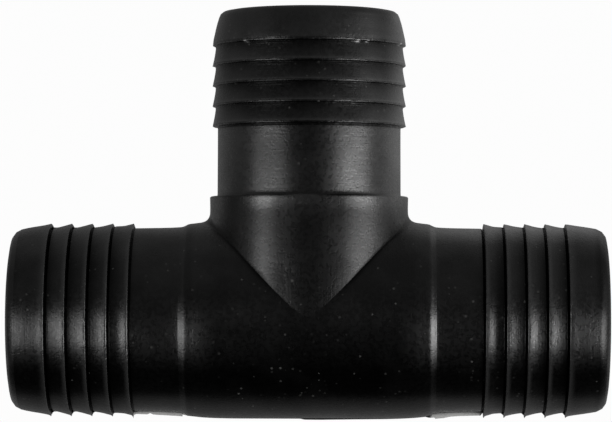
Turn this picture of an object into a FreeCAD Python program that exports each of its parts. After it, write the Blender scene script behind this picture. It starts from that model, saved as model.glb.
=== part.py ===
import FreeCAD, Part

import math
import os

import Sketcher

# Barbed insert tee for flexible low-density irrigation pipe, in millimetres.
# The run lies along X, the branch points along +Y and +Z is up when the tee lies flat.
# The origin is the point where the run's axis and the branch's axis cross.
# The real fitting is one moulding; it is built here as four sections that meet face to face
# at the shoulders where the pipe ends stop.

OUT_DIR = "parts"

# alias, value in mm (or a plain count), what it sizes
DIMENSIONS = [
    ("neck_radius", 17.5, "plain neck between a shoulder and the last barb"),
    ("root_radius", 17.82, "foot of the cone between two barbs"),
    ("barb_pitch", 3.93, "from one crest to the next"),
    ("barb_count", 5, "crests on each spigot"),
    ("crest_land", 0.25, "cylindrical land on each crest"),
    ("barb_step", 0.4, "axial width of the steep face behind each crest"),
    ("run_shoulder", 24.3, "branch axis to the foot of each run shoulder"),
    ("run_last_crest", 33.7, "branch axis to the run's innermost crest"),
    ("run_crest_radius", 18.45, "top of the run's barbs, and the small land on each"),
    ("run_reach", 57.1, "branch axis to each open end of the run"),
    ("run_nose_radius", 17.1, "outside of the run at its open ends"),
    ("run_bore_radius", 14.2, "flow passage along the run"),
    ("branch_shoulder", 23.7, "run axis to the collar's flat shoulder"),
    ("branch_last_crest", 37.2, "run axis to the branch's innermost crest"),
    ("branch_crest_radius", 18.6, "top of the branch's barbs, and the small land on each"),
    ("branch_reach", 59.4, "run axis to the open end of the branch"),
    ("branch_nose_radius", 17.0, "outside of the branch at its open end"),
    ("branch_bore_radius", 13.9, "flow passage up the branch"),
    ("rim_round", 1.35, "outer rounding of each open end"),
    ("mouth_round", 0.5, "inner rounding of each open end"),
    ("barrel_radius", 18.95, "middle of the barrel"),
    ("barrel_flat", 14.0, "half length of the barrel's parallel part"),
    ("barrel_bend", 20.0, "branch axis to where the barrel draws in faster"),
    ("barrel_bend_radius", 18.8, "barrel where it draws in faster"),
    ("barrel_end", 22.9, "branch axis to the top of the run shoulder's ramp"),
    ("barrel_end_radius", 18.38, "barrel at the top of the ramp"),
    ("ramp_bend", 23.5, "branch axis to where the ramp steepens"),
    ("ramp_bend_radius", 18.12, "barrel where the ramp steepens"),
    ("collar_sink_radius", 18.85, "collar where it vanishes into the barrel"),
    ("collar_foot_radius", 19.2, "collar above the crease with the barrel"),
    ("collar_waist_radius", 19.08, "collar a little below its shoulder"),
    ("collar_top_radius", 19.14, "collar at its shoulder"),
    ("collar_foot_level", 5.0, "run axis to the collar's full foot radius"),
    ("collar_bend_level", 16.5, "run axis to where the collar starts to draw in"),
    ("collar_waist_level", 21.0, "run axis to the collar's waist"),
    ("collar_round", 0.3, "rounding on the edge of the collar's shoulder"),
    ("crease_round", 0.4, "fillet between the collar and the barrel"),
    ("flash_start", 1.6, "left end of the parting flash under the barrel, from the branch axis"),
    ("flash_end", 19.0, "right end of the parting flash, from the branch axis"),
    ("flash_height", 0.3, "parting flash, out from the barrel"),
    ("flash_root", 0.4, "depth of the parting flash's foot inside the barrel's wall"),
    ("flash_width", 0.3, "thickness of the parting flash"),
]


class Dim:
    """A length together with the sheet expression that drives it."""

    def __init__(self, value, text):
        self.value = value
        self.text = text

    def __add__(self, other):
        return Dim(self.value + other.value, f"({self.text} + {other.text})")

    def __sub__(self, other):
        return Dim(self.value - other.value, f"({self.text} - {other.text})")

    def __neg__(self):
        return Dim(-self.value, f"(-{self.text})")

    def times(self, number):
        return Dim(self.value * number, f"({self.text} * {number})")


ZERO = Dim(0.0, "0")


def make_sheet(doc):
    """Write the driving dimensions and return them as Dim objects by alias."""
    sheet = doc.addObject("Spreadsheet::Sheet", "dims")
    dims = {}
    for row, (alias, value, note) in enumerate(DIMENSIONS, start=1):
        sheet.set(f"A{row}", alias)
        sheet.set(f"B{row}", str(value))
        sheet.set(f"C{row}", note)
        sheet.setAlias(f"B{row}", alias)
        dims[alias] = Dim(float(value), f"dims.{alias}")
    return dims


def origin_feature(body, role):
    """The body's own origin plane or axis with this role."""
    for feature in body.Origin.OriginFeatures:
        if feature.Role == role:
            return feature
    raise LookupError(role)


def pin_coordinate(sketch, line, coordinate, axis, across):
    """Hold a line's start point at a signed distance from one sketch axis."""
    kind = "DistanceX" if axis == "x" else "DistanceY"
    if abs(coordinate.value) < 1e-9:
        sketch.addConstraint(Sketcher.Constraint("PointOnObject", line, 1, across))
        return
    if coordinate.value > 0:
        ends = (-1, 1, line, 1)
        size = coordinate
    else:
        ends = (line, 1, -1, 1)
        size = -coordinate
    index = sketch.addConstraint(Sketcher.Constraint(kind, *ends, size.value))
    sketch.setExpression(f"Constraints[{index}]", size.text)


def profile(body, name, points):
    """A closed outline in the body's XY plane, every corner driven by the sheet."""
    sketch = body.newObject("Sketcher::SketchObject", name)
    sketch.AttachmentSupport = [(origin_feature(body, "XY_Plane"), "")]
    sketch.MapMode = "FlatFace"
    corners = [FreeCAD.Vector(x.value, y.value, 0) for x, y in points]
    for start, end in zip(corners, corners[1:] + corners[:1]):
        sketch.addGeometry(Part.LineSegment(start, end), False)
    count = len(points)
    for line in range(count):
        following = (line + 1) % count
        sketch.addConstraint(Sketcher.Constraint("Coincident", line, 2, following, 1))
    for line, (x, y) in enumerate(points):
        pin_coordinate(sketch, line, x, "x", -2)
        pin_coordinate(sketch, line, y, "y", -1)
    return sketch


def turn(body, kind, name, points, axis):
    """Revolve an outline a full turn about the sketch's H_Axis or V_Axis."""
    sketch = profile(body, f"{name}_outline", points)
    feature = body.newObject(f"PartDesign::{kind}", name)
    feature.Profile = sketch
    feature.ReferenceAxis = (sketch, [axis])
    feature.Angle = 360
    body.Document.recompute()
    return feature


def ring_edges(shape, axis, level, radius):
    """Names of the circular edges about X or Y at this level with this radius."""
    pick = {"x": lambda v: v.x, "y": lambda v: v.y}[axis]
    names = []
    for index, edge in enumerate(shape.Edges, start=1):
        curve = edge.Curve
        if not isinstance(curve, Part.Circle):
            continue
        along = abs(abs(pick(curve.Axis)) - 1) < 1e-6
        if along and abs(pick(curve.Center) - level) < 1e-4 and abs(curve.Radius - radius) < 1e-4:
            names.append(f"Edge{index}")
    if not names:
        raise LookupError(f"no edge about {axis} at {level} with radius {radius}")
    return names


def round_edges(body, name, names, size):
    """Fillet the named edges of the body's current shape."""
    base = body.Tip
    fillet = body.newObject("PartDesign::Fillet", name)
    fillet.Base = (base, names)
    fillet.Radius = size.value
    fillet.setExpression("Radius", size.text)
    body.Tip = fillet
    body.Document.recompute()
    return fillet


def crease_edges(shape, bore_radius):
    """Names of the edges where the collar's outside runs into the barrel's outside."""
    names = []
    for index, edge in enumerate(shape.Edges, start=1):
        if isinstance(edge.Curve, (Part.Circle, Part.Line)):
            continue
        middle = edge.valueAt((edge.FirstParameter + edge.LastParameter) / 2)
        if math.hypot(middle.x, middle.z) > bore_radius + 1:
            names.append(f"Edge{index}")
    return names


def build_tee_body(doc, d):
    """Barrel with drawn-in ends, the branch collar on top of it, and both bores."""
    body = doc.addObject("PartDesign::Body", "tee_body")
    body.Label = "tee_body"
    barrel = [
        (-d["run_shoulder"], ZERO),
        (-d["run_shoulder"], d["neck_radius"]),
        (-d["ramp_bend"], d["ramp_bend_radius"]),
        (-d["barrel_end"], d["barrel_end_radius"]),
        (-d["barrel_bend"], d["barrel_bend_radius"]),
        (-d["barrel_flat"], d["barrel_radius"]),
        (d["barrel_flat"], d["barrel_radius"]),
        (d["barrel_bend"], d["barrel_bend_radius"]),
        (d["barrel_end"], d["barrel_end_radius"]),
        (d["ramp_bend"], d["ramp_bend_radius"]),
        (d["run_shoulder"], d["neck_radius"]),
        (d["run_shoulder"], ZERO),
    ]
    turn(body, "Revolution", "barrel", barrel, "H_Axis")
    collar = [
        (ZERO, ZERO),
        (d["collar_sink_radius"], ZERO),
        (d["collar_foot_radius"], d["collar_foot_level"]),
        (d["collar_foot_radius"], d["collar_bend_level"]),
        (d["collar_waist_radius"], d["collar_waist_level"]),
        (d["collar_top_radius"], d["branch_shoulder"]),
        (ZERO, d["branch_shoulder"]),
    ]
    turn(body, "Revolution", "collar", collar, "V_Axis")
    run_bore = [
        (-d["run_reach"], ZERO),
        (-d["run_reach"], d["run_bore_radius"]),
        (d["run_reach"], d["run_bore_radius"]),
        (d["run_reach"], ZERO),
    ]
    turn(body, "Groove", "run_bore", run_bore, "H_Axis")
    branch_bore = [
        (ZERO, ZERO),
        (d["branch_bore_radius"], ZERO),
        (d["branch_bore_radius"], d["branch_reach"]),
        (ZERO, d["branch_reach"]),
    ]
    turn(body, "Groove", "branch_bore", branch_bore, "V_Axis")
    crease = crease_edges(body.Shape, d["branch_bore_radius"].value)
    round_edges(body, "crease_round", crease, d["crease_round"])
    rim = ring_edges(body.Shape, "y", d["branch_shoulder"].value, d["collar_top_radius"].value)
    round_edges(body, "collar_round", rim, d["collar_round"])
    add_flash(body, d)
    return body


def add_flash(body, d):
    """The thin rib left under the barrel where the two mould halves met."""
    top = d["barrel_bend_radius"] - d["flash_root"]
    edge = d["barrel_radius"] + d["flash_height"]
    outline = [
        (-d["flash_start"], -top),
        (-d["flash_start"], -edge),
        (d["barrel_flat"], -edge),
        (d["flash_end"], -d["barrel_radius"]),
        (d["flash_end"], -top),
    ]
    sketch = profile(body, "flash_outline", outline)
    rib = body.newObject("PartDesign::Pad", "flash")
    rib.Profile = sketch
    rib.SideType = "Symmetric"
    rib.Length = d["flash_width"].value
    rib.setExpression("Length", d["flash_width"].text)
    body.Tip = rib
    body.Document.recompute()


def build_spigot(doc, d, label, size, angle):
    """One barbed spigot along its own +X, turned about Z to where it belongs.

    size names the sheet's run or branch dimensions: shoulder, last_crest, crest_radius,
    reach, nose_radius and bore_radius.
    """
    body = doc.addObject("PartDesign::Body", label)
    body.Label = label
    shoulder = d[f"{size}_shoulder"]
    reach = d[f"{size}_reach"]
    last_crest = d[f"{size}_last_crest"]
    crest = d[f"{size}_crest_radius"]
    bore = d[f"{size}_bore_radius"]
    gaps = Dim(d["barb_count"].value - 1, "(dims.barb_count - 1)")
    rise = Dim(d["barb_pitch"].value * gaps.value, f"({d['barb_pitch'].text} * {gaps.text})")
    lead_crest = last_crest + rise

    core = [
        (shoulder, ZERO),
        (shoulder, d["neck_radius"]),
        (lead_crest - d["barb_step"], d["neck_radius"]),
        (lead_crest - d["barb_step"], d["root_radius"]),
        (lead_crest, crest),
        (lead_crest + d["crest_land"], crest),
        (reach, d[f"{size}_nose_radius"]),
        (reach, ZERO),
    ]
    turn(body, "Revolution", "neck_and_nose", core, "H_Axis")

    barb_end = last_crest + d["barb_pitch"] - d["barb_step"]
    barb = [
        (last_crest - d["barb_step"], bore),
        (last_crest - d["barb_step"], d["root_radius"]),
        (last_crest, crest),
        (last_crest + d["crest_land"], crest),
        (barb_end, d["root_radius"]),
        (barb_end, bore),
    ]
    tooth = turn(body, "Revolution", "barb", barb, "H_Axis")
    row = body.newObject("PartDesign::LinearPattern", "barb_row")
    row.Originals = [tooth]
    row.Direction = (origin_feature(body, "X_Axis"), [""])
    row.setExpression("Occurrences", "dims.barb_count - 1")
    row.setExpression("Length", "dims.barb_pitch * (dims.barb_count - 2)")
    body.Tip = row
    doc.recompute()

    passage = [
        (shoulder, ZERO),
        (shoulder, bore),
        (reach, bore),
        (reach, ZERO),
    ]
    turn(body, "Groove", "passage", passage, "H_Axis")
    rim = ring_edges(body.Shape, "x", reach.value, d[f"{size}_nose_radius"].value)
    round_edges(body, "rim_round", rim, d["rim_round"])
    mouth = ring_edges(body.Shape, "x", reach.value, bore.value)
    round_edges(body, "mouth_round", mouth, d["mouth_round"])
    turned = FreeCAD.Rotation(FreeCAD.Vector(0, 0, 1), angle)
    body.Placement = FreeCAD.Placement(FreeCAD.Vector(0, 0, 0), turned)
    return body


def check(doc, bodies):
    """Stop with a message if any object failed or any sub-part isn't a sound solid."""
    doc.recompute()
    for item in doc.Objects:
        if any(word in item.State for word in ("Invalid", "Error")):
            raise RuntimeError(f"{item.Name} is {item.State}")
    for body in bodies:
        shape = body.Shape
        if shape.isNull() or not shape.isValid() or len(shape.Solids) != 1:
            raise RuntimeError(f"{body.Label} isn't one valid solid")
        print(f"{body.Label}: {shape.Volume / 1000:.3f} cm3, {len(shape.Faces)} faces")


def main():
    doc = FreeCAD.newDocument("barbed_tee")
    d = make_sheet(doc)
    doc.recompute()
    bodies = [
        build_tee_body(doc, d),
        build_spigot(doc, d, "right_run_spigot", "run", 0),
        build_spigot(doc, d, "left_run_spigot", "run", 180),
        build_spigot(doc, d, "branch_spigot", "branch", 90),
    ]
    check(doc, bodies)
    os.makedirs(OUT_DIR, exist_ok=True)
    for body in bodies:
        body.Shape.exportStep(os.path.join(OUT_DIR, f"{body.Label}.step"))


main()
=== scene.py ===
import bmesh
import bpy
import math
import numpy as np
from mathutils import Matrix, Vector


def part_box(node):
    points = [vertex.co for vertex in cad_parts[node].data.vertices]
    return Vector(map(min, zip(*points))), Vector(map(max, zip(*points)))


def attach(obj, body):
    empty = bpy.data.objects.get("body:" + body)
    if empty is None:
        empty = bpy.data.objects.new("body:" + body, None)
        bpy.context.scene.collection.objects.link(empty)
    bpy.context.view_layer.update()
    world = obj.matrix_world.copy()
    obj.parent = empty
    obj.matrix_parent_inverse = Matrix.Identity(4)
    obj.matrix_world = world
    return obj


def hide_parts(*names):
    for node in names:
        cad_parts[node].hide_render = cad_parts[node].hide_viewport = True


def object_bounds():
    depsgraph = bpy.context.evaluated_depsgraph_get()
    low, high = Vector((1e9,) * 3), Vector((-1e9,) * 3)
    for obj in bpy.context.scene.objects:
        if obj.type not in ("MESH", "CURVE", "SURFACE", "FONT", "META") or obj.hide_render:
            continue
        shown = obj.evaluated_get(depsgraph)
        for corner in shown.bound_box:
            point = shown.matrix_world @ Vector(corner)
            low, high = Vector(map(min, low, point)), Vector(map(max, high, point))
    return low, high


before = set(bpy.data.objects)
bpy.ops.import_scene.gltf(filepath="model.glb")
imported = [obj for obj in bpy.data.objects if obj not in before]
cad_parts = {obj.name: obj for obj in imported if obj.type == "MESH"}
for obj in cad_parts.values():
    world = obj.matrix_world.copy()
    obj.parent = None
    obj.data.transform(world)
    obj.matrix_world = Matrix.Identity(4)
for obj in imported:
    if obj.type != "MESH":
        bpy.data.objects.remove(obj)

# Barbed insert tee in black plastic, lying flat under two soft boxes.
# Lengths are millimetres in this script and become metres where a mesh is made.
# Run along X, branch towards +Y, +Z up, origin where the two axes cross.

MM = 0.001
CAD_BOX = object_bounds()

BODY_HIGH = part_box("tee_body")[1]
RUN_BOX_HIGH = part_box("right_run_spigot")[1]
BRANCH_BOX_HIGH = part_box("branch_spigot")[1]

RUN_SHOULDER = BODY_HIGH.x / MM
RUN_REACH = RUN_BOX_HIGH.x / MM
BRANCH_SHOULDER = BODY_HIGH.y / MM
BRANCH_REACH = BRANCH_BOX_HIGH.y / MM
RUN_CREST = RUN_BOX_HIGH.z / MM
BRANCH_CREST = BRANCH_BOX_HIGH.z / MM
COLLAR_RADIUS = BODY_HIGH.z / MM
FLOOR_LEVEL = CAD_BOX[0].z / MM

BARREL_RADIUS = 18.95
RUN_BORE = 14.2
BRANCH_BORE = 13.9
FOOT_RADIUS = 17.9
COLLAR_EDGE = 0.3
SHOULDER_LOOPS = (0.1, 1.2)
MOUTH_EDGE = 0.5

# the crease between barrel and collar: its fillet, the fillet in its two open corners, the
# width of the painted shade along it, and the share of those fillets that the inner corner gets
CREASE_FILLET = 0.15
CORNER_FILLET = 1.8
CREASE_WIDTH = 0.45
OUTER_FILLET_SHARE = 1.0
INNER_FILLET_SHARE = 0.5

# barbs: their number on each spigot, the gap behind each crest, the width of the painted highlight
# line along it
BARB_COUNT = 5
NOTCH_WIDTH = 0.55
CREST_LINE = 0.3
NO_FIN = [(0, 0.0), (40, 0.0)]

# levels of the mesh's painted sheen and wear: 0 painted dull, PLAIN as moulded, 1 painted bright with
# some rubbed wear, TORN a pale torn edge
PLAIN = 0.7
TORN = 2.0

# radii on a spigot: below the first is its bore, which keeps a plain painted sheen, and wear fades in
# above the second
PAINTED_SHEEN_FROM = 15.0
WEAR_FROM = 16.4
WEAR_RAMP = 0.4

# mesh density; the last two are the weld distance in metres and the angle of a sharp edge
OUTLINE_STEP = 0.6
EDGE_SUPPORT = 0.09
DEGREES_PER_PART = 22
FRONT_COLUMNS = 181
BACK_COLUMNS = 200
OUTSIDE_ROWS = 64
BORE_ROWS = 16
WELD_DISTANCE = 2e-7
SHARP_ANGLE = math.radians(40)

# radius of the barrel against distance from its middle
BARREL_CURVE = [
    (0.0, BARREL_RADIUS),
    (14.0, BARREL_RADIUS),
    (17.0, BARREL_RADIUS - 0.04),
    (20.0, BARREL_RADIUS - 0.16),
    (22.0, BARREL_RADIUS - 0.38),
    (23.1, BARREL_RADIUS - 0.53),
    (23.7, BARREL_RADIUS - 0.8),
    (24.0, BARREL_RADIUS - 0.93),
    (RUN_SHOULDER, FOOT_RADIUS),
]

# radius of the collar against distance from the run's axis
COLLAR_CURVE = [
    (-6.0, COLLAR_RADIUS - 0.7),
    (0.0, COLLAR_RADIUS - 0.3),
    (6.0, COLLAR_RADIUS - 0.05),
    (9.0, COLLAR_RADIUS - 0.003),
    (12.0, COLLAR_RADIUS - 0.02),
    (15.0, COLLAR_RADIUS - 0.05),
    (18.5, COLLAR_RADIUS - 0.1),
    (20.5, COLLAR_RADIUS - 0.13),
    (21.5, COLLAR_RADIUS - 0.14),
    (22.3, COLLAR_RADIUS - 0.13),
    (BRANCH_SHOULDER, COLLAR_RADIUS - 0.09),
]

# painted highlight and painted shade marks down the collar: (place across it, width, share of its
# painted sheen gained or lost)
COLLAR_PAINTED_MARKS = [
    (-14.5, 2.5, -0.7),
    (-11.3, 1.5, -0.6),
    (-8.4, 1.4, 0.3),
    (-5.2, 1.5, -0.5),
    (6.3, 3.0, -0.97),
    (9.8, 2.0, -0.3),
]

# height of the moulding flash under the barrel against distance along it
BARREL_FLASH = [
    (-24.3, 0.4),
    (-23.0, 0.1),
    (-20.0, 0.06),
    (-1.6, 0.08),
    (-0.8, 0.26),
    (2.0, 0.28),
    (8.0, 0.2),
    (20.0, 0.06),
    (22.5, 0.1),
    (24.3, 0.9),
]

# how far the collar has shrunk in, halfway between its two moulding seams
COLLAR_SINK = [
    (-6.0, 0.0),
    (9.5, 0.0),
    (12.0, 0.02),
    (15.0, 0.07),
    (18.0, 0.14),
    (20.0, 0.2),
    (21.2, 0.23),
    (22.5, 0.22),
    (BRANCH_SHOULDER, 0.2),
]


def straight(where, curve):
    """Value on the straight lines through (place, value) points."""
    return np.interp(where, [place for place, _ in curve], [value for _, value in curve])


def eased(where, curve):
    """Smooth curve through (place, value) points, without overshoot."""
    places = np.array([p for p, _ in curve])
    values = np.array([v for _, v in curve])
    slopes = np.diff(values) / np.diff(places)
    tangents = np.zeros(len(places))
    same_way = slopes[1:] * slopes[:-1] > 0
    joined = 2 * slopes[1:] * slopes[:-1] / np.where(same_way, slopes[1:] + slopes[:-1], 1)
    tangents[1:-1] = np.where(same_way, joined, 0)
    tangents[0] = slopes[0]
    tangents[-1] = slopes[-1]
    where = np.clip(where, places[0], places[-1])
    k = np.clip(np.searchsorted(places, where, side="right") - 1, 0, len(slopes) - 1)
    width = places[k + 1] - places[k]
    t = (where - places[k]) / width
    rise = t * t * (3 - 2 * t)
    return (
        values[k] * (1 - rise)
        + values[k + 1] * rise
        + width * tangents[k] * t * (1 - t) ** 2
        - width * tangents[k + 1] * t * t * (1 - t)
    )


def barrel_radius(x):
    return eased(np.abs(x), BARREL_CURVE)


def collar_radius(y, z=0.0):
    return eased(y, COLLAR_CURVE) - eased(y, COLLAR_SINK) * (z / COLLAR_RADIUS) ** 2


def run_bore_radius(x):
    return np.full_like(np.asarray(x, float), RUN_BORE)


def branch_bore_radius(y, z=0.0):
    return np.full_like(np.asarray(y, float), BRANCH_BORE)


def ripple(angle, seed, slowest, fastest):
    """Seeded random wave round a ring, with a spread of about 1."""
    rng = np.random.default_rng(seed)
    total = np.zeros_like(angle)
    for turns in range(slowest, fastest):
        total += rng.normal() * np.cos(turns * angle + rng.uniform(0, 2 * math.pi))
    return total * math.sqrt(2 / (fastest - slowest))


def hump(offset, width):
    return np.exp(-((offset / width) ** 2))


def wrapped(angle):
    return (angle + math.pi) % (2 * math.pi) - math.pi


# ---------------------------------------------------------------- mesh building


class Skin:
    """Collects grids of points and welds them into one closed mesh."""

    def __init__(self):
        self.points = []
        self.polish = []
        self.faces = []
        self.count = 0

    def grid(self, points, round_first=False, round_second=False, polish=PLAIN):
        """Adds a grid of points; a round direction joins its last line to its first."""
        first, second = points.shape[:2]
        index = np.arange(first * second).reshape(first, second) + self.count
        if round_first:
            index = np.vstack([index, index[:1]])
        if round_second:
            index = np.hstack([index, index[:, :1]])
        corners = (index[:-1, :-1], index[:-1, 1:], index[1:, 1:], index[1:, :-1])
        self.faces.append(np.stack(corners, axis=-1).reshape(-1, 4))
        self.points.append(points.reshape(-1, 3))
        self.polish.append(np.broadcast_to(polish, (first, second)).reshape(-1))
        self.count += first * second

    def build(self, name):
        mesh = bpy.data.meshes.new(name)
        points = np.vstack(self.points) * MM
        mesh.from_pydata(points.tolist(), [], np.vstack(self.faces).tolist())
        # each point's painted sheen and wear level: painted highlight and shade, and pale torn flash
        mesh.attributes.new("polish", "FLOAT", "POINT")
        mesh.attributes["polish"].data.foreach_set("value", np.concatenate(self.polish))
        work = bmesh.new()
        work.from_mesh(mesh)
        bmesh.ops.remove_doubles(work, verts=work.verts, dist=WELD_DISTANCE)
        bmesh.ops.recalc_face_normals(work, faces=work.faces)
        work.to_mesh(mesh)
        work.free()
        mesh.shade_smooth()
        mesh.set_sharp_from_angle(angle=SHARP_ANGLE)
        piece = bpy.data.objects.new(name, mesh)
        bpy.context.scene.collection.objects.link(piece)
        return piece


def dressed(piece, node, material):
    """Puts a finished mesh in the place of a CAD node."""
    piece.data.materials.append(material)
    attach(piece, "root")
    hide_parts(node)


def ring_angles(coarse, fine, reach):
    """Angles round a ring, closer together near the parting plane at 0 and 180 degrees."""
    near = np.arange(-reach, reach + fine / 2, fine)
    count = round((180 - 2 * reach) / coarse)
    far = np.linspace(reach, 180 - reach, count + 1)[1:-1]
    half = np.concatenate([near, far])
    return np.radians(np.concatenate([half, half + 180]))


# ---------------------------------------------------------------- spigots


def rounded_outline(corners, longest):
    """Closed outline with its (along, radius, cut) corners rounded and its long sides divided."""
    places = [np.array(c[:2]) for c in corners]
    cuts = [c[2] for c in corners]
    count = len(corners)
    outline = []
    for k in range(count):
        here, before, after = places[k], places[k - 1], places[(k + 1) % count]
        to_before = (before - here) / np.linalg.norm(before - here)
        to_after = (after - here) / np.linalg.norm(after - here)
        start = here + to_before * cuts[k]
        end = here + to_after * cuts[k]
        if cuts[k] > 0:
            turn = math.acos(np.clip(-np.dot(to_before, to_after), -1, 1))
            parts = max(2, round(math.degrees(turn) / DEGREES_PER_PART))
            for t in np.linspace(0, 1, parts + 1):
                outline.append(start * (1 - t) ** 2 + here * 2 * t * (1 - t) + end * t * t)
        else:
            outline.append(here)
        next_cut = cuts[(k + 1) % count]
        following = after - to_after * next_cut
        support = EDGE_SUPPORT if cuts[k] > 0 or next_cut > 0 else 0.0
        outline.extend(side_points(outline[-1], following, longest, support))
    return np.array(outline)


def side_points(start, end, longest, support):
    """Evenly spaced points between two outline points, starting this far in from each."""
    length = np.linalg.norm(end - start)
    if length < max(3 * support, longest):
        return []
    inner = length - 2 * support
    parts = max(1, math.ceil(inner / longest))
    reach = support + inner * np.linspace(0, 1, parts + 1)
    reach = reach if support > 0 else reach[1:-1]
    return [start + (end - start) * (r / length) for r in reach]


def flank(start, end, high, slopes):
    """Corners down a barb's long flank; slopes are in degrees, from its crest to its foot."""
    places = np.linspace(start, end, len(slopes) + 1)[1:]
    step = (end - start) / len(slopes)
    drops = np.cumsum(np.tan(np.radians(slopes))) * step
    return [(place, high - drop, 0) for place, drop in zip(places, drops)]


def crest_places(part):
    """Distance of each barb's crest along the spigot, from the body outwards."""
    return [part["first_crest"] + k * part["pitch"] for k in range(BARB_COUNT)]


def spigot_outline(part):
    """Neck, barbs, nose, rounded mouth and bore, as one closed outline."""
    shoulder, reach = part["shoulder"], part["reach"]
    corners = [(shoulder + along, radius, 0) for along, radius in part["neck"]]
    for k, crest in enumerate(crest_places(part)):
        foot = corners[-1][1]
        corners.append((crest - NOTCH_WIDTH, foot, 0.05))
        corners.append((crest - part["step"], foot - part["notches"][k], 0.03))
        corners.append((crest, part["crest"], part["edge"]))
        if k < BARB_COUNT - 1:
            end = crest + part["pitch"] - NOTCH_WIDTH - 0.1
            corners += flank(crest, end, part["crest"], part["slopes"][k])
    for back, radius in part["nose"]:
        corners.append((reach - back, radius, 0))
    corners.append((reach, part["tip"], part["rim"]))
    corners.append((reach, part["bore"], MOUTH_EDGE))
    corners.append((shoulder, part["bore"], 0))
    return rounded_outline(corners, OUTLINE_STEP)


def spigot_polish(part, along, radius):
    """Painted sheen on a spigot: painted shade down into the grooves, and painted highlight near the
    crests with some rubbed wear.
    """
    first, last = crest_places(part)[0], crest_places(part)[-1]
    beyond = (along - first + 0.02) % part["pitch"]
    flank_length = part["pitch"] - NOTCH_WIDTH
    # painted shade: darker from each crest down towards the foot of its flank
    barbs = np.clip(1.05 - beyond / flank_length, 0, 1)
    # each crest line gets its own painted sheen level, partly rubbed wear
    barbs = np.where(beyond < CREST_LINE, part["crest_shine"], barbs)
    on_barbs = (along > first - NOTCH_WIDTH) & (along < last)
    # off the barbs, painted sheen levels listed along the spigot, partly rubbed wear
    polish = np.where(on_barbs, barbs, straight(along, part["painted_sheen_along"]))
    return np.where(radius > PAINTED_SHEEN_FROM, polish, PLAIN)


def crest_wear(part, along, angle):
    """Burrs standing up on the crests, mostly small, with a few torn spots."""
    lift = np.zeros_like(along)
    crests = crest_places(part)
    for k, crest in enumerate(crests):
        seed = part["seed"] + k
        edge = hump(along - crest, 0.16)
        fray = np.clip(ripple(angle, seed, 30, 230) - 1.2, 0, None)
        lift += edge * (0.02 * ripple(angle, seed + 50, 3, 90) + 0.06 * fray)
    for place, width, height in part["burrs"]:
        arc = wrapped(angle - math.radians(place)) * part["crest"]
        lift += height * hump(arc, width) * hump(along - crests[-1], 0.2)
    return lift


def seam_wear(part, along, angle, radius):
    """Moulding flash where the two mould halves met."""
    lift = np.zeros_like(along)
    crests = crest_places(part)
    barbs = (along > crests[0]) * (along < crests[-1])
    for seam, ear, fin in zip((0, 180), part["ears"], part["fins"]):
        arc = wrapped(angle - math.radians(seam)) * part["crest"]
        for crest in crests:
            lift += ear * hump(arc, 0.35) * hump(along - crest + 0.1, 0.28)
        lift += straight(along - part["shoulder"], fin) * hump(arc, 0.14)
        lift += np.clip(part["filled_groove"] - radius, 0, None) * barbs * hump(arc, 0.3)
    return lift


def torn_white(part, along, angle):
    """Where thin flash and burrs look pale: on the fin at 180 degrees and the torn burrs."""
    arc = wrapped(angle - math.pi) * part["crest"]
    height = straight(along - part["shoulder"], part["fins"][1])
    pale = hump(arc, 0.3) * np.clip(height / 0.4, 0, 1)
    last_crest = crest_places(part)[-1]
    for place, width, _ in part["burrs"]:
        arc = wrapped(angle - math.radians(place)) * part["crest"]
        pale = np.maximum(pale, hump(arc, width) * hump(along - last_crest, 0.25))
    return pale


def make_spigot(name, part, place, material):
    """Turns the outline round its axis; place maps (along, across, up) to the tee's frame."""
    outline = spigot_outline(part)
    angles = ring_angles(coarse=1.0, fine=0.2, reach=1.4)
    along = np.repeat(outline[:, :1], len(angles), axis=1)
    radius = np.repeat(outline[:, 1:], len(angles), axis=1)
    angle = np.repeat(angles[None, :], len(outline), axis=0)
    outside = np.clip((radius - WEAR_FROM) / WEAR_RAMP, 0, 1)
    wear = crest_wear(part, along, angle) + seam_wear(part, along, angle, radius)
    radius = radius + outside * wear
    polish = spigot_polish(part, along, radius)
    polish = polish + (TORN - polish) * outside * torn_white(part, along, angle)
    skin = Skin()
    skin.grid(place(along, radius * np.cos(angle), radius * np.sin(angle)), True, True, polish)
    dressed(skin.build(name + "_moulded"), name, material)


def to_right(along, across, up):
    return np.stack([along, across, up], axis=-1)


def to_left(along, across, up):
    return np.stack([-along, across, up], axis=-1)


def to_branch(along, across, up):
    return np.stack([across, along, up], axis=-1)


# A spigot's settings. "neck" and "fins" are measured from the shoulder, "nose" back from the open
# end, and the painted sheen levels off the barbs (painted highlight and shade, partly rubbed wear)
# from where the axes cross. "slopes" are each barb's flank in degrees, from crest to foot, and
# "notches" the depth cut behind each crest. "ears" and "fins" are the flash at 0 and at 180 degrees
# round the spigot. A burr is (degrees round, width, height). "crest_shine" is the painted sheen on
# each crest line.
RUN = {
    "shoulder": RUN_SHOULDER,
    "reach": RUN_REACH,
    "crest": RUN_CREST,
    "bore": RUN_BORE,
    "neck": [
        (0, FOOT_RADIUS),
        (0.25, 17.86),
        (0.7, 17.82),
        (1.3, 17.78),
        (2.5, 17.73),
        (4.0, 17.69),
        (8.5, 17.62),
    ],
    "step": 0.12,
    "edge": 0.2,
    "filled_groove": 17.75,
    "crest_shine": 1.05,
    "rim": 1.9,
}

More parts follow.
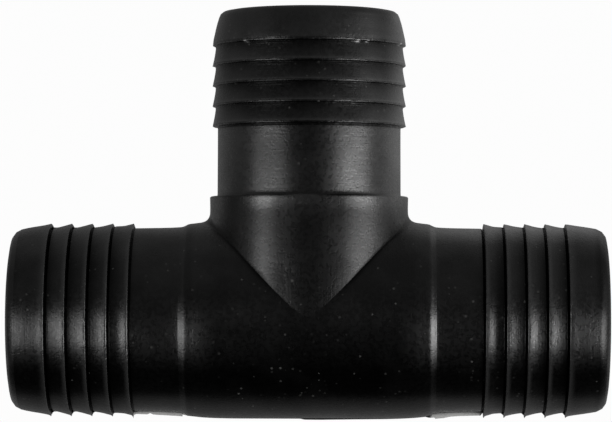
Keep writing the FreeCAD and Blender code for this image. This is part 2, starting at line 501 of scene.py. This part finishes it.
RIGHT = dict(
    RUN,
    first_crest=33.55,
    pitch=3.934,
    slopes=[
        [5, 14.5, 17, 16, 11, 4, 4, 3],
        [6, 12, 14, 12.5, 10.5, 9, 8, 7],
        [7, 14, 17, 15, 12, 10.5, 9, 8],
        [7, 12.5, 14.5, 13.5, 12, 11, 10, 8.5],
    ],
    notches=[0.3, 0.35, 0.35, 0.35, 0.35],
    nose=[(7.2, 18.42), (6.2, 18.25), (5.2, 18.11), (4.2, 17.97), (3.1, 17.8), (2.0, 17.61)],
    tip=17.0,
    painted_sheen_along=[
        (32.6, 0.7),
        (33.1, 0.3),
        (49.3, 1.0),
        (50.0, 0.85),
        (51.0, 0.68),
        (54.0, 0.62),
        (54.8, 0.3),
        (55.6, 0.0),
        (57.1, 0.0),
    ],
    ears=(0.1, 0.5),
    fins=(NO_FIN, [(0, 1.1), (1.5, 1.1), (3, 0.85), (5, 0.76), (8.9, 0.72), (9.1, 0.0), (40, 0.0)]),
    burrs=[],
    seed=11,
)

LEFT = dict(
    RUN,
    first_crest=33.8,
    pitch=3.958,
    slopes=[
        [7, 14, 15, 12, 6, 4, 3, 3],
        [8, 14, 15, 14, 12, 10.5, 9, 8],
        [9, 15, 15.5, 15, 14, 13, 12, 11],
        [10, 16, 16, 15, 14.5, 14.5, 14.5, 14.5],
    ],
    notches=[0.12, 0.35, 0.35, 0.35, 0.35],
    nose=[(7.2, 18.42), (6.2, 18.2), (5.2, 18.03), (3.7, 17.79), (2.7, 17.6), (1.7, 17.36)],
    tip=16.85,
    painted_sheen_along=[
        (32.6, 0.7),
        (33.3, 0.4),
        (49.6, 1.0),
        (50.3, 0.85),
        (51.3, 0.68),
        (54.0, 0.65),
        (55.5, 0.4),
        (57.1, 0.3),
    ],
    ears=(0.1, 0.3),
    fins=(
        NO_FIN,
        [
            (0, 0.75),
            (2, 0.75),
            (5.6, 0.65),
            (6.2, 0.35),
            (6.8, 0.62),
            (9.4, 0.55),
            (9.6, 0.0),
            (40, 0.0),
        ],
    ),
    burrs=[],
    seed=31,
)

BRANCH = {
    "shoulder": BRANCH_SHOULDER,
    "reach": BRANCH_REACH,
    "first_crest": 37.19,
    "pitch": 3.9,
    "crest": BRANCH_CREST,
    "bore": BRANCH_BORE,
    "neck": [(0, 17.8), (0.2, 17.68), (0.6, 17.65), (10.0, 17.62)],
    "step": 0.14,
    "edge": 0.22,
    "filled_groove": 18.0,
    "nose": [(6.0, 18.56), (5.3, 18.47), (4.3, 18.24), (3.3, 18.02), (2.3, 17.77), (1.5, 17.52)],
    "tip": 17.15,
    "rim": 1.3,
    "crest_shine": 0.25,
    "slopes": [[6, 12, 12, 11, 10, 9, 8, 7]] * 4,
    "notches": [0.05] * 5,
    "painted_sheen_along": [
        (24.0, 0.76),
        (27.0, 0.73),
        (29.7, 0.7),
        (36.2, 0.7),
        (36.9, 0.4),
        (52.6, 0.35),
        (53.0, 0.35),
        (53.3, 0.85),
        (57.0, 0.82),
        (60.0, 0.82),
    ],
    "ears": (0.1, 0.1),
    "fins": (NO_FIN, NO_FIN),
    "burrs": [(130, 0.5, 0.12), (59, 0.5, 0.15), (52, 0.3, 0.12), (18, 0.7, 0.1)],
    "seed": 61,
}


# ---------------------------------------------------------------- tee body


def blended_gap(points, run_radius, branch_radius, fillet_share):
    """Distance from the two tubes' surface, with a share of the crease's fillets between them."""
    x, y, z = points
    run = run_radius(x)
    branch = branch_radius(y, z)
    to_run = np.hypot(y, z) - run
    to_branch = np.hypot(x, z) - branch + 3 * np.maximum(-y, 0)
    openness = np.clip(1 - z * z / (run * branch), 0, 1)
    fillet = CREASE_FILLET * openness + CORNER_FILLET * openness**8
    blend = np.maximum(fillet_share * fillet, 0.02)
    share = np.clip(0.5 + 0.5 * (to_run - to_branch) / blend, 0, 1)
    return to_run * (1 - share) + to_branch * share - blend * share * (1 - share)


def settle(points, run_radius, branch_radius, fillet_share):
    """Moves points on to the blended surface of the two tubes."""
    place = [points[..., k].copy() for k in range(3)]
    nudge = 1e-4
    for _ in range(4):
        gap = blended_gap(place, run_radius, branch_radius, fillet_share)
        slope = []
        for axis in range(3):
            ahead = [c + nudge * (k == axis) for k, c in enumerate(place)]
            change = blended_gap(ahead, run_radius, branch_radius, fillet_share) - gap
            slope.append(change / nudge)
        steepness = sum(s * s for s in slope)
        place = [c - gap * s / steepness for c, s in zip(place, slope)]
    return np.stack(place, axis=-1)


def meeting_levels(turn, run_radius, branch_radius):
    """Height on the branch tube where it runs into the run tube, at each angle round it."""
    level = np.full_like(turn, 5.0)
    for _ in range(400):
        radius = branch_radius(level)
        reached = run_radius(radius * np.cos(turn)) ** 2 - (radius * np.sin(turn)) ** 2
        level = 0.5 * level + 0.5 * np.sqrt(np.maximum(reached, 0))
    return level


def spread(share, places, density):
    """Places this share of the way along, closer together where the density is higher."""
    total = np.concatenate([[0], np.cumsum((density[1:] + density[:-1]) / 2)])
    return np.interp(share * total[-1], total, places)


def crowded(count, at_start, at_end):
    """Numbers from 0 to 1 that lie closer together at both ends."""
    t = np.linspace(0, 1, 2001)
    density = 1 / (t + at_start) + 1 / (1 - t + at_end)
    return spread(np.linspace(0, 1, count), t, density)


def back_angles(count, first):
    """Angles over the run's back, closer together at the parting plane."""
    angle = np.linspace(first, 2 * math.pi - first, 4001)
    density = 1 + 7 * hump(angle - math.pi, math.radians(1.6))
    return spread(np.linspace(0, 1, count + 2)[1:-1], angle, density)


def tube_pair(turn, run_radius, branch_radius, fillet_share, rows, top):
    """Right half of two crossing tubes: the run's grid and the branch's grid."""
    level = meeting_levels(turn, run_radius, branch_radius)
    radius = branch_radius(level)
    front = np.arctan2(radius * np.sin(turn), level)
    back = back_angles(BACK_COLUMNS, front[-1])
    around = np.concatenate([front, back])
    start = np.concatenate([radius * np.cos(turn), np.zeros(len(back))])
    start[[0, len(front) - 1]] = 0
    share = crowded(rows, 0.02, 0.04)[:, None]
    x = start + (RUN_SHOULDER - start) * share
    run = run_radius(x)
    run_grid = np.stack([x, run * np.cos(around), run * np.sin(around)], axis=-1)
    share = crowded(rows, 0.02, 0.3)[:, None]
    y = level + (top - level) * share
    branch = branch_radius(y)
    branch_grid = np.stack([branch * np.cos(turn), y, branch * np.sin(turn)], axis=-1)
    run_grid = settle(run_grid, run_radius, branch_radius, fillet_share)
    branch_grid = settle(branch_grid, run_radius, branch_radius, fillet_share)
    run_grid[-1, :, 0] = RUN_SHOULDER
    run_grid[0, len(front):, 0] = 0
    run_grid[0, [0, len(front) - 1], 0] = 0
    branch_grid[:, [0, -1], 0] = 0
    branch_grid[-1, :, 1] = top
    return run_grid, branch_grid


def mirrored(grid):
    return grid * np.array([-1, 1, 1])


def flashed(grid):
    """The grid with moulding flash pulled down from it, along the barrel's -Y side."""
    x, y, z = grid[..., 0], grid[..., 1], grid[..., 2]
    lift = straight(x, BARREL_FLASH) * hump(z, 0.14) * (y < 0)
    lifted = grid.copy()
    lifted[..., 1] -= lift
    return lifted


def make_tee_body(name, material):
    """Barrel and collar with their bores, as two mirrored halves welded at X = 0."""
    turn = np.radians(np.linspace(-90, 90, FRONT_COLUMNS))
    top = BRANCH_SHOULDER - COLLAR_EDGE
    outer_run, outer_branch = tube_pair(
        turn, barrel_radius, collar_radius, OUTER_FILLET_SHARE, OUTSIDE_ROWS, top
    )
    inner_run, inner_branch = tube_pair(
        turn, run_bore_radius, branch_bore_radius, INNER_FILLET_SHARE, BORE_ROWS, BRANCH_SHOULDER
    )
    skin = Skin()
    for side in (np.array, mirrored):
        barrel, collar = side(outer_run), side(outer_branch)
        barrel_end = side(np.stack([outer_run[-1], inner_run[-1]]))
        skin.grid(flashed(barrel), round_second=True, polish=body_polish(barrel))
        skin.grid(side(inner_run), round_second=True)
        skin.grid(collar, polish=collar_polish(collar))
        skin.grid(side(inner_branch))
        skin.grid(flashed(barrel_end), round_second=True)
        shoulder = side(collar_top(outer_branch[-1], inner_branch[-1]))
        skin.grid(shoulder, polish=collar_polish(shoulder))
    dressed(skin.build(name + "_moulded"), name, material)


def body_polish(grid):
    """Barrel: painted shade low on its middle, in the crease and at its left end, and pale torn flash
    on the seam near its ends.
    """
    x, y, z = grid[..., 0], grid[..., 1], grid[..., 2]
    to_run = np.hypot(y, z) - barrel_radius(x)
    to_branch = np.hypot(x, z) - collar_radius(y, z)
    openness = np.clip(1 - (z / COLLAR_RADIUS) ** 2, 0, 1)
    width = CREASE_WIDTH * (1 + 2.5 * openness**8)
    # painted shade along the crease
    crease = hump(to_run - to_branch, width) * np.clip(5 * openness, 0, 1) * (y > 0)
    # painted shade low on the barrel's middle
    across = np.interp(np.abs(x), [17.0, 19.5], [1, 0])
    middle = across * np.interp(y, [-15.5, -13.5, -2, 1.5], [0, 1, 1, 0])
    flash = hump(z, 0.3) * (y < 0) * np.clip(np.abs(x) - 22.8, 0, 1)
    # painted shade that dims the left end
    left_end = np.interp(x, [-22.3, -21.3], [1, 0])
    polish = (PLAIN - 0.55 * middle - 0.2 * left_end) * (1 - crease)
    return polish + (TORN - polish) * flash


def collar_polish(grid):
    """Collar: painted highlight brightest at the shoulder, painted highlight and shade marks down its
    sides, and painted shade in the crease.
    """
    x, y = grid[..., 0], grid[..., 1]
    # painted sheen down the collar: dimmer from 15 to 19.5 mm, brighter towards the shoulder
    level = np.interp(y, [11.5, 15.0, 19.5, 22.0, BRANCH_SHOULDER], [PLAIN, 0.62, 0.58, 0.84, 0.9])
    for place, width, share in COLLAR_PAINTED_MARKS:
        level = level * (1 + share * hump(x - place, width))
    # painted shade on the collar's flanks low down, near the run
    low_flanks = hump(np.abs(x) - 5.5, 2.2) * np.interp(y, [8.0, 11.0], [1, 0])
    level = level * (1 - 0.75 * low_flanks)
    return np.minimum(level, body_polish(grid) / PLAIN)


def collar_top(edge, bore):
    """The collar's rounded edge and flat shoulder, down to the bore."""
    outward = edge * np.array([1, 0, 1])
    radius = np.linalg.norm(outward, axis=1, keepdims=True)
    direction = outward / radius
    rows = [edge]
    for t in np.linspace(0, math.pi / 2, 6)[1:]:
        inset = COLLAR_EDGE * (1 - math.cos(t))
        rise = COLLAR_EDGE * math.sin(t)
        rows.append(direction * (radius - inset) + [0, BRANCH_SHOULDER - COLLAR_EDGE + rise, 0])
    for gap in SHOULDER_LOOPS:
        rows.append(direction * (radius - COLLAR_EDGE - gap) + [0, BRANCH_SHOULDER, 0])
    rows.append(bore)
    return np.stack(rows)


# ---------------------------------------------------------------- material

DEEP_BLACK = (0.0004, 0.0004, 0.0004, 1)
WORN_BLACK = (0.0014, 0.0014, 0.0014, 1)
DUST_GREY = (0.16, 0.16, 0.155, 1)
# paler grey laid where the painted sheen is raised: partly scuffs, partly painted highlight
SCUFF_AND_HIGHLIGHT_GREY = (0.013, 0.013, 0.013, 1)
TORN_GREY = (0.3, 0.3, 0.295, 1)

# how much of the colour a full speck covers, and the painted sheen and wear level from which plastic
# looks torn
DUST_COVER = 0.22
TEAR_FROM = 1.15


class Nodes:
    """Short calls for building a node tree."""

    def __init__(self, tree):
        self.tree = tree
        tree.nodes.clear()

    def add(self, kind, **settings):
        node = self.tree.nodes.new(kind)
        for key, value in settings.items():
            setattr(node, key, value)
        return node

    def link(self, source, target):
        self.tree.links.new(source, target)

    def math(self, operation, first, second):
        node = self.add("ShaderNodeMath", operation=operation)
        for socket, value in zip(node.inputs, (first, second)):
            if isinstance(value, (int, float)):
                socket.default_value = value
            else:
                self.link(value, socket)
        return node.outputs[0]

    def weighted(self, parts):
        """Sum of (output, weight) parts."""
        terms = [self.math("MULTIPLY", output, weight) for output, weight in parts]
        total = terms[0]
        for term in terms[1:]:
            total = self.math("ADD", total, term)
        return total

    def layer(self, share, under, over):
        """One colour laid over another; under may be a colour or another node's output."""
        node = self.add("ShaderNodeMix", data_type="RGBA")
        self.link(share, node.inputs["Factor"])
        if isinstance(under, tuple):
            node.inputs["A"].default_value = under
        else:
            self.link(under, node.inputs["A"])
        node.inputs["B"].default_value = over
        return node.outputs["Result"]

    def ramp(self, source, low, high, low_value, high_value):
        """Smooth change between two values while the source goes from low to high."""
        node = self.add("ShaderNodeMapRange", interpolation_type="SMOOTHSTEP")
        self.link(source, node.inputs["Value"])
        node.inputs["From Min"].default_value = low
        node.inputs["From Max"].default_value = high
        node.inputs["To Min"].default_value = low_value
        node.inputs["To Max"].default_value = high_value
        return node.outputs["Result"]

    def noise(self, coordinates, scale, detail, roughness):
        node = self.add("ShaderNodeTexNoise")
        self.link(coordinates, node.inputs["Vector"])
        node.inputs["Scale"].default_value = scale
        node.inputs["Detail"].default_value = detail
        node.inputs["Roughness"].default_value = roughness
        return node.outputs["Fac"]

    def stretched(self, coordinates, scale):
        node = self.add("ShaderNodeMapping")
        self.link(coordinates, node.inputs["Vector"])
        node.inputs["Scale"].default_value = scale
        return node.outputs["Vector"]


def dust(nodes, place, scale, rarity, size):
    """Small round specks scattered in a few of a cell pattern's cells."""
    cells = nodes.add("ShaderNodeTexVoronoi")
    nodes.link(place, cells.inputs["Vector"])
    cells.inputs["Scale"].default_value = scale
    near = nodes.ramp(cells.outputs["Distance"], size * 0.6, size, 1.0, 0.0)
    parts = nodes.add("ShaderNodeSeparateColor")
    nodes.link(cells.outputs["Color"], parts.inputs["Color"])
    chosen = nodes.math("GREATER_THAN", parts.outputs["Red"], rarity)
    strength = nodes.math("MULTIPLY", near, chosen)
    return nodes.math("MULTIPLY", strength, parts.outputs["Green"])


def settled_dust(nodes, place, patches):
    """Single specks here and there, and powder that gathers in patches."""
    specks = nodes.math(
        "ADD", dust(nodes, place, 420.0, 0.92, 0.12), dust(nodes, place, 900.0, 0.9, 0.2)
    )
    powder = nodes.math("MULTIPLY", dust(nodes, place, 800.0, 0.58, 0.24), patches)
    return nodes.math("ADD", specks, nodes.math("MULTIPLY", powder, 1.2))


def plastic_color(nodes, polish, patches, specks):
    """Black, greyer in patches, with dust on it, paler grey where the painted sheen is raised (partly
    scuffs, partly painted highlight) and pale where torn.
    """
    # paler where the painted sheen is raised: partly scuffs, partly painted highlight
    scuffs_and_highlight = nodes.math("POWER", nodes.ramp(polish, PLAIN, 1.0, 0.0, 1.0), 1.5)
    tears = nodes.ramp(polish, TEAR_FROM, TORN, 0.0, 1.0)
    color = nodes.layer(patches, DEEP_BLACK, WORN_BLACK)
    color = nodes.layer(nodes.math("MULTIPLY", specks, DUST_COVER), color, DUST_GREY)
    color = nodes.layer(scuffs_and_highlight, color, SCUFF_AND_HIGHLIGHT_GREY)
    return nodes.layer(tears, color, TORN_GREY)


def plastic_sheen(nodes, place, polish):
    """Strength of the gloss: painted highlight and shade from the mesh's painted sheen levels,
    smeared, and a painted shade that weakens it low on the barrel's front.
    """
    sheen = nodes.math("ADD", nodes.math("MULTIPLY", polish, 0.5), 0.15)
    smears = nodes.ramp(nodes.noise(place, 75.0, 3.0, 0.55), 0.35, 0.65, 0.78, 1.18)
    sheen = nodes.math("MULTIPLY", sheen, smears)
    parts = nodes.add("ShaderNodeSeparateXYZ")
    nodes.link(place, parts.inputs["Vector"])
    # painted shade: the gloss weakened low on the barrel's front, above the seam
    low_side = nodes.ramp(parts.outputs["Y"], -0.0072, -0.0105, 0.0, 0.6)
    above_seam = nodes.ramp(parts.outputs["Y"], -0.0153, -0.0135, 0.0, 1.0)
    dulled = nodes.math("SUBTRACT", 1.0, nodes.math("MULTIPLY", low_side, above_seam))
    return nodes.math("MULTIPLY", sheen, dulled)


def plastic_relief(nodes, place, along, mottle, patches):
    """Normal with fine grain, the mould's turning lines, mottle and small pits."""
    grain = nodes.noise(place, 3200.0, 2.0, 0.6)
    rings = nodes.stretched(place, tuple(5200.0 if k == along else 130.0 for k in range(3)))
    tooling = nodes.noise(rings, 1.0, 2.0, 0.6)
    pits = nodes.math("MULTIPLY", dust(nodes, place, 650.0, 0.7, 0.24), patches)
    relief = nodes.weighted([(grain, 0.9), (tooling, 0.6), (mottle, 0.6), (pits, 0.5)])
    bump = nodes.add("ShaderNodeBump")
    bump.inputs["Strength"].default_value = 0.6
    bump.inputs["Distance"].default_value = 0.00006
    nodes.link(relief, bump.inputs["Height"])
    return bump.outputs["Normal"]


def new_material(name):
    """An empty material: itself, its nodes and its output node."""
    material = bpy.data.materials.new(name)
    material.use_nodes = True
    nodes = Nodes(material.node_tree)
    return material, nodes, nodes.add("ShaderNodeOutputMaterial")


def black_plastic(name, along):
    """Black moulded plastic; along is the axis its mould was turned about."""
    material, nodes, output = new_material(name)
    shader = nodes.add("ShaderNodeBsdfPrincipled")
    nodes.link(shader.outputs["BSDF"], output.inputs["Surface"])
    place = nodes.add("ShaderNodeTexCoord").outputs["Object"]
    # the mesh's painted sheen and wear levels: painted highlight and shade, and pale torn flash
    polish = nodes.add("ShaderNodeAttribute", attribute_name="polish").outputs["Fac"]
    patches = nodes.ramp(nodes.noise(place, 110.0, 4.0, 0.55), 0.45, 0.7, 0.0, 1.0)
    mottle = nodes.noise(place, 1300.0, 3.0, 0.6)
    specks = settled_dust(nodes, place, patches)
    gloss = nodes.ramp(mottle, 0.3, 0.7, 0.24, 0.33)
    gloss = nodes.math("ADD", gloss, nodes.math("MULTIPLY", specks, 0.08))
    nodes.link(plastic_color(nodes, polish, patches, specks), shader.inputs["Base Color"])
    nodes.link(gloss, shader.inputs["Roughness"])
    nodes.link(plastic_sheen(nodes, place, polish), shader.inputs["Specular IOR Level"])
    nodes.link(plastic_relief(nodes, place, along, mottle, patches), shader.inputs["Normal"])
    shader.inputs["IOR"].default_value = 1.5
    return material


# ---------------------------------------------------------------- studio


STUDIO_WHITE = 0.98
FLOOR_SIZE = 6.0
FLOOR_GAP = 0.0001


def even_white(name):
    """Plain white light for the floor that the camera sees."""
    material, nodes, output = new_material(name)
    light = nodes.add("ShaderNodeEmission")
    light.inputs["Strength"].default_value = STUDIO_WHITE
    nodes.link(light.outputs["Emission"], output.inputs["Surface"])
    return material


def floor_plane(name, level, material):
    mesh = bpy.data.meshes.new(name)
    half = FLOOR_SIZE / 2
    corners = [(-half, -half, level), (half, -half, level), (half, half, level), (-half, half, level)]
    mesh.from_pydata(corners, [], [(0, 1, 2, 3)])
    mesh.materials.append(material)
    plane = bpy.data.objects.new(name, mesh)
    bpy.context.scene.collection.objects.link(plane)
    return plane


def glossy_white(name):
    """Glossy floor that glows unevenly: darker towards -Y, with a bright patch towards +X."""
    material, nodes, output = new_material(name)
    parts = nodes.add("ShaderNodeSeparateXYZ")
    nodes.link(nodes.add("ShaderNodeTexCoord").outputs["Object"], parts.inputs["Vector"])
    shader = nodes.add("ShaderNodeBsdfPrincipled")
    shader.inputs["Base Color"].default_value = (0, 0, 0, 1)
    shader.inputs["Roughness"].default_value = 0.3
    shader.inputs["Emission Color"].default_value = (1, 1, 1, 1)
    x, y = parts.outputs["X"], parts.outputs["Y"]
    right = nodes.ramp(x, 0.0, 0.04, 1.0, 1.22)
    patch = nodes.ramp(x, 0.01, 0.045, 0.0, 1.65)
    right_edge = nodes.ramp(x, 0.06, 0.13, 1.0, 0.15)
    near_edge = nodes.ramp(y, 0.022, 0.032, 0.0, 1.0)
    far_edge = nodes.ramp(y, 0.062, 0.08, 1.0, 0.0)
    for edge in (right_edge, near_edge, far_edge):
        patch = nodes.math("MULTIPLY", patch, edge)
    fade = nodes.ramp(y, -0.15, -0.02, 0.02, 0.19)
    glow_strength = nodes.math("MULTIPLY", fade, nodes.math("ADD", right, patch))
    nodes.link(glow_strength, shader.inputs["Emission Strength"])
    nodes.link(shader.outputs["BSDF"], output.inputs["Surface"])
    return material


def make_floor():
    """A pale floor for the eye, and one that gives the black plastic its dim reflection."""
    level = FLOOR_LEVEL * MM
    seen = floor_plane("studio_floor", level, even_white("floor_white"))
    seen.visible_glossy = False
    seen.visible_diffuse = False
    seen.visible_shadow = False
    bounce = floor_plane("floor_bounce", level - FLOOR_GAP, glossy_white("floor_reflection"))
    bounce.visible_camera = False
    bounce.visible_shadow = False


def make_world():
    """Studio walls: an even white to the eye, and a dim, uneven light for the plastic."""
    world = bpy.data.worlds.new("studio")
    bpy.context.scene.world = world
    world.use_nodes = True
    nodes = Nodes(world.node_tree)
    output = nodes.add("ShaderNodeOutputWorld")
    direction = nodes.add("ShaderNodeTexCoord").outputs["Generated"]
    parts = nodes.add("ShaderNodeSeparateXYZ")
    nodes.link(direction, parts.inputs["Vector"])
    x, y = parts.outputs["X"], parts.outputs["Y"]
    low = nodes.ramp(y, -0.85, -0.05, 0.0, 0.11)
    high = nodes.ramp(y, 0.2, 0.9, 0.0, 0.11)
    ambient = nodes.math("ADD", low, high)
    right = nodes.ramp(x, 0.7, 0.97, 0.0, 1.1)
    left = nodes.ramp(nodes.math("MULTIPLY", x, -1.0), 0.5, 0.9, 0.0, 0.16)
    side = nodes.ramp(x, 0.1, 0.45, 0.0, 0.1)
    side = nodes.math("MULTIPLY", side, nodes.ramp(y, -0.3, 0.4, 0.0, 1.0))
    total = nodes.math("ADD", nodes.math("ADD", ambient, side), nodes.math("ADD", right, left))
    lit = nodes.add("ShaderNodeBackground")
    nodes.link(total, lit.inputs["Strength"])
    seen = nodes.add("ShaderNodeBackground")
    seen.inputs["Strength"].default_value = STUDIO_WHITE
    seen.inputs["Color"].default_value = (1, 1, 1, 1)
    path = nodes.add("ShaderNodeLightPath")
    choice = nodes.add("ShaderNodeMixShader")
    nodes.link(path.outputs["Is Camera Ray"], choice.inputs["Fac"])
    nodes.link(lit.outputs["Background"], choice.inputs[1])
    nodes.link(seen.outputs["Background"], choice.inputs[2])
    nodes.link(choice.outputs["Shader"], output.inputs["Surface"])


UP_IN_VIEW = Vector((0, 1, 0))


def facing(backward, up, roll=0.0):
    """Rotation whose own Z is this direction and whose own Y is as near to up as can be."""
    z = backward.normalized()
    x = up.cross(z).normalized()
    y = z.cross(x)
    columns = Matrix((x, y, z)).transposed()
    return columns.to_quaternion() @ Matrix.Rotation(roll, 3, "Z").to_quaternion()


SOFT_BOX_SIZE = (0.56, 0.42)
SOFT_BOX_DISTANCE = 0.8


def soft_box(name, across, back, radiance):
    """A rectangular light, this many degrees across and back from straight above the tee."""
    width, height = SOFT_BOX_SIZE
    across, back = math.radians(across), math.radians(back)
    direction = Vector(
        (math.sin(across) * math.cos(back), -math.sin(back), math.cos(across) * math.cos(back))
    )
    light = bpy.data.lights.new(name, "AREA")
    light.shape = "RECTANGLE"
    light.size = width
    light.size_y = height
    light.energy = radiance * math.pi * width * height
    holder = bpy.data.objects.new(name, light)
    holder.location = direction * SOFT_BOX_DISTANCE
    holder.rotation_mode = "QUATERNION"
    holder.rotation_quaternion = facing(direction, UP_IN_VIEW)
    bpy.context.scene.collection.objects.link(holder)


CAMERA_PLACE = Vector((11.55, 2.28, 660.2)) * MM
CAMERA_TARGET = Vector((-0.59, 20.985, 0.0)) * MM
CAMERA_ROLL = math.radians(0.1)
SENSOR_WIDTH = 36.0
FOCAL_LENGTH = 201.5


def make_camera():
    camera = bpy.data.cameras.new("camera")
    camera.sensor_width = SENSOR_WIDTH
    camera.lens = FOCAL_LENGTH
    camera.clip_start = 0.05
    camera.clip_end = 20.0
    holder = bpy.data.objects.new("camera", camera)
    holder.location = CAMERA_PLACE
    backward = CAMERA_PLACE - CAMERA_TARGET
    holder.rotation_mode = "QUATERNION"
    holder.rotation_quaternion = facing(backward, UP_IN_VIEW, CAMERA_ROLL)
    bpy.context.scene.collection.objects.link(holder)
    bpy.context.scene.camera = holder


def main():
    scene = bpy.context.scene
    scene.view_settings.view_transform = "Standard"
    scene.view_settings.look = "None"
    run_plastic = black_plastic("black_plastic_run", 0)
    branch_plastic = black_plastic("black_plastic_branch", 1)
    make_tee_body("tee_body", run_plastic)
    make_spigot("right_run_spigot", RIGHT, to_right, run_plastic)
    make_spigot("left_run_spigot", LEFT, to_left, run_plastic)
    make_spigot("branch_spigot", BRANCH, to_branch, branch_plastic)
    make_floor()
    make_world()
    soft_box("left_soft_box", -50, 13, 5.2)
    soft_box("right_soft_box", 56, 13, 11.0)
    make_camera()
    bpy.context.view_layer.update()


main()
